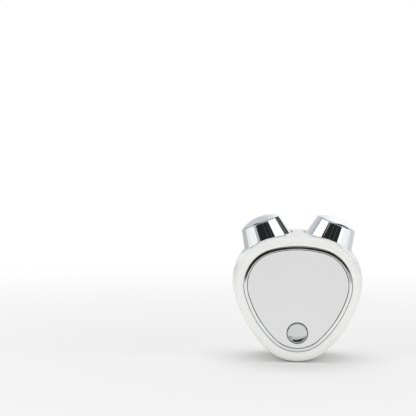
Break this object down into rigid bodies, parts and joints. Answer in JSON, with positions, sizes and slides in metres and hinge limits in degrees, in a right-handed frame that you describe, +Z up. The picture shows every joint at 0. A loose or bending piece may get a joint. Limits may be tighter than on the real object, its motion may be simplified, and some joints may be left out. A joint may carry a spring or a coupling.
{
  "type": "facial toning device",
  "caption": "Palm-sized facial toning device: rounded-triangle white casing, bright face plate in a trim ring with a dished power button, and domed rolling electrode heads leaning apart on top.",
  "frame": {"origin": "centre of the overall box at its base, which lies in the flat foot under the tip, in the plane where the two shells part", "axes": "+Z up from the foot to the rolling heads, -Y out of the face plate and the power button, +X to the right of somebody who looks at the face plate"},
  "size_m": [0.052, 0.0328, 0.0573],
  "materials": {
    "shell": "polished white ABS",
    "trim": "bright chrome plating",
    "plate": "polished mirror",
    "head": "bright chrome plating",
    "button": "bright chrome plating",
    "steel": "machined",
    "screw_steel": "zinc plated",
    "bush_plastic": "natural acetal",
    "bracket_plastic": "moulded, fine matte",
    "foam_tape": "closed-cell foam",
    "board_green": "solder mask",
    "chip_black": "moulded epoxy",
    "ceramic": "fired ceramic",
    "ferrite": "sintered ferrite",
    "switch_plastic": "moulded nylon",
    "plunger_plastic": "moulded nylon",
    "socket_steel": "tin plated",
    "tongue_plastic": "moulded LCP",
    "cell_foil": "laminated foil",
    "bronze": "spring bronze",
    "wire_red": "PVC sleeve",
    "wire_black": "PVC sleeve",
    "wire_white": "PVC sleeve"
  },
  "bodies": {
    "housing": {"front_shell": "shell", "rear_shell": "shell", "trim_ring": "trim", "mirror_plate": "plate", "mirror_tape": "foam_tape", "housing_screws": "screw_steel", "switch_body": "switch_plastic", "main_board": "board_green", "board_screws": "screw_steel", "microcontroller": "chip_black", "charge_chip": "chip_black", "boost_coil": "ferrite", "board_capacitors": "ceramic", "usb_socket_shell": "socket_steel", "usb_socket_tongue": "tongue_plastic", "battery_cell": "cell_foil", "battery_tape": "foam_tape", "battery_lead_red": "wire_red", "battery_lead_black": "wire_black", "roller_frame": "bracket_plastic", "frame_screws": "screw_steel", "left_thrust_washer": "steel", "left_floor_bush": "bush_plastic", "left_frame_bush": "bush_plastic", "left_contact_spring": "bronze", "left_electrode_lead": "wire_white", "right_thrust_washer": "steel", "right_floor_bush": "bush_plastic", "right_frame_bush": "bush_plastic", "right_contact_spring": "bronze", "right_electrode_lead": "wire_white"},
    "left_roller": {"left_roller": "head", "left_roller_shaft": "steel", "left_shaft_clip": "screw_steel"},
    "right_roller": {"right_roller": "head", "right_roller_shaft": "steel", "right_shaft_clip": "screw_steel"},
    "power_button": {"power_button": "button", "switch_plunger": "plunger_plastic"}
  },
  "joints": [
    {"name": "left_roller_spin", "type": "hinge", "parent": "housing", "child": "left_roller", "pos_m": [-0.01224, 0, 0.0468], "axis": [-0.3697, 0, 0.9291], "continuous": true},
    {"name": "right_roller_spin", "type": "hinge", "parent": "housing", "child": "right_roller", "pos_m": [0.01224, 0, 0.0468], "axis": [0.3697, 0, 0.9291], "continuous": true},
    {"name": "power_button_press", "type": "slide", "parent": "housing", "child": "power_button", "axis": [0, 1, 0], "range_m": [0, 0.0005], "stiffness_N_per_m": 1500}
  ]
}
